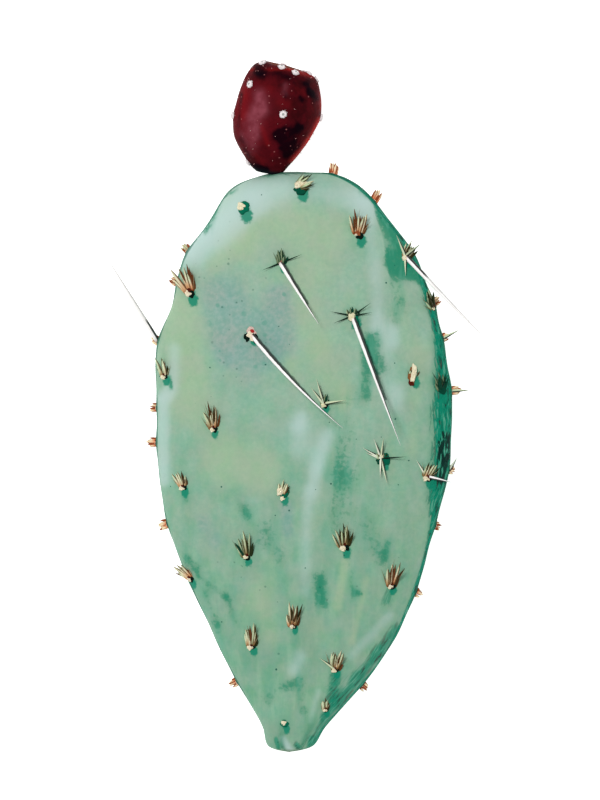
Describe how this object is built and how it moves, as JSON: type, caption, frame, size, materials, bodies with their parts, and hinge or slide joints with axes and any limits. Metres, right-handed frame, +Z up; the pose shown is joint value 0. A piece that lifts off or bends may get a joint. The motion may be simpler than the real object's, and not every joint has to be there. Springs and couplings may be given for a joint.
{
  "type": "prickly pear cactus pad",
  "caption": "Picked prickly pear pad with tufted areoles, long white spines and a ripe red fruit on its top edge, lying on its back.",
  "frame": {"origin": "middle of the small flat spot under the belly that the pad lies on, under the weight of pad and fruit", "axes": "+X across the pad, +Y from the stem scar towards the tip and the fruit, +Z up, out of the face that the picture shows"},
  "size_m": [0.1353, 0.2399, 0.0379],
  "materials": {
    "pad_skin": "blue-green wax bloom over a smooth fleshy skin, dull",
    "fruit_skin": "dark wine red, softly shining with a thin violet bloom"
  },
  "bodies": {
    "root": {"pad": "pad_skin", "fruit": "fruit_skin"}
  },
  "joints": []
}
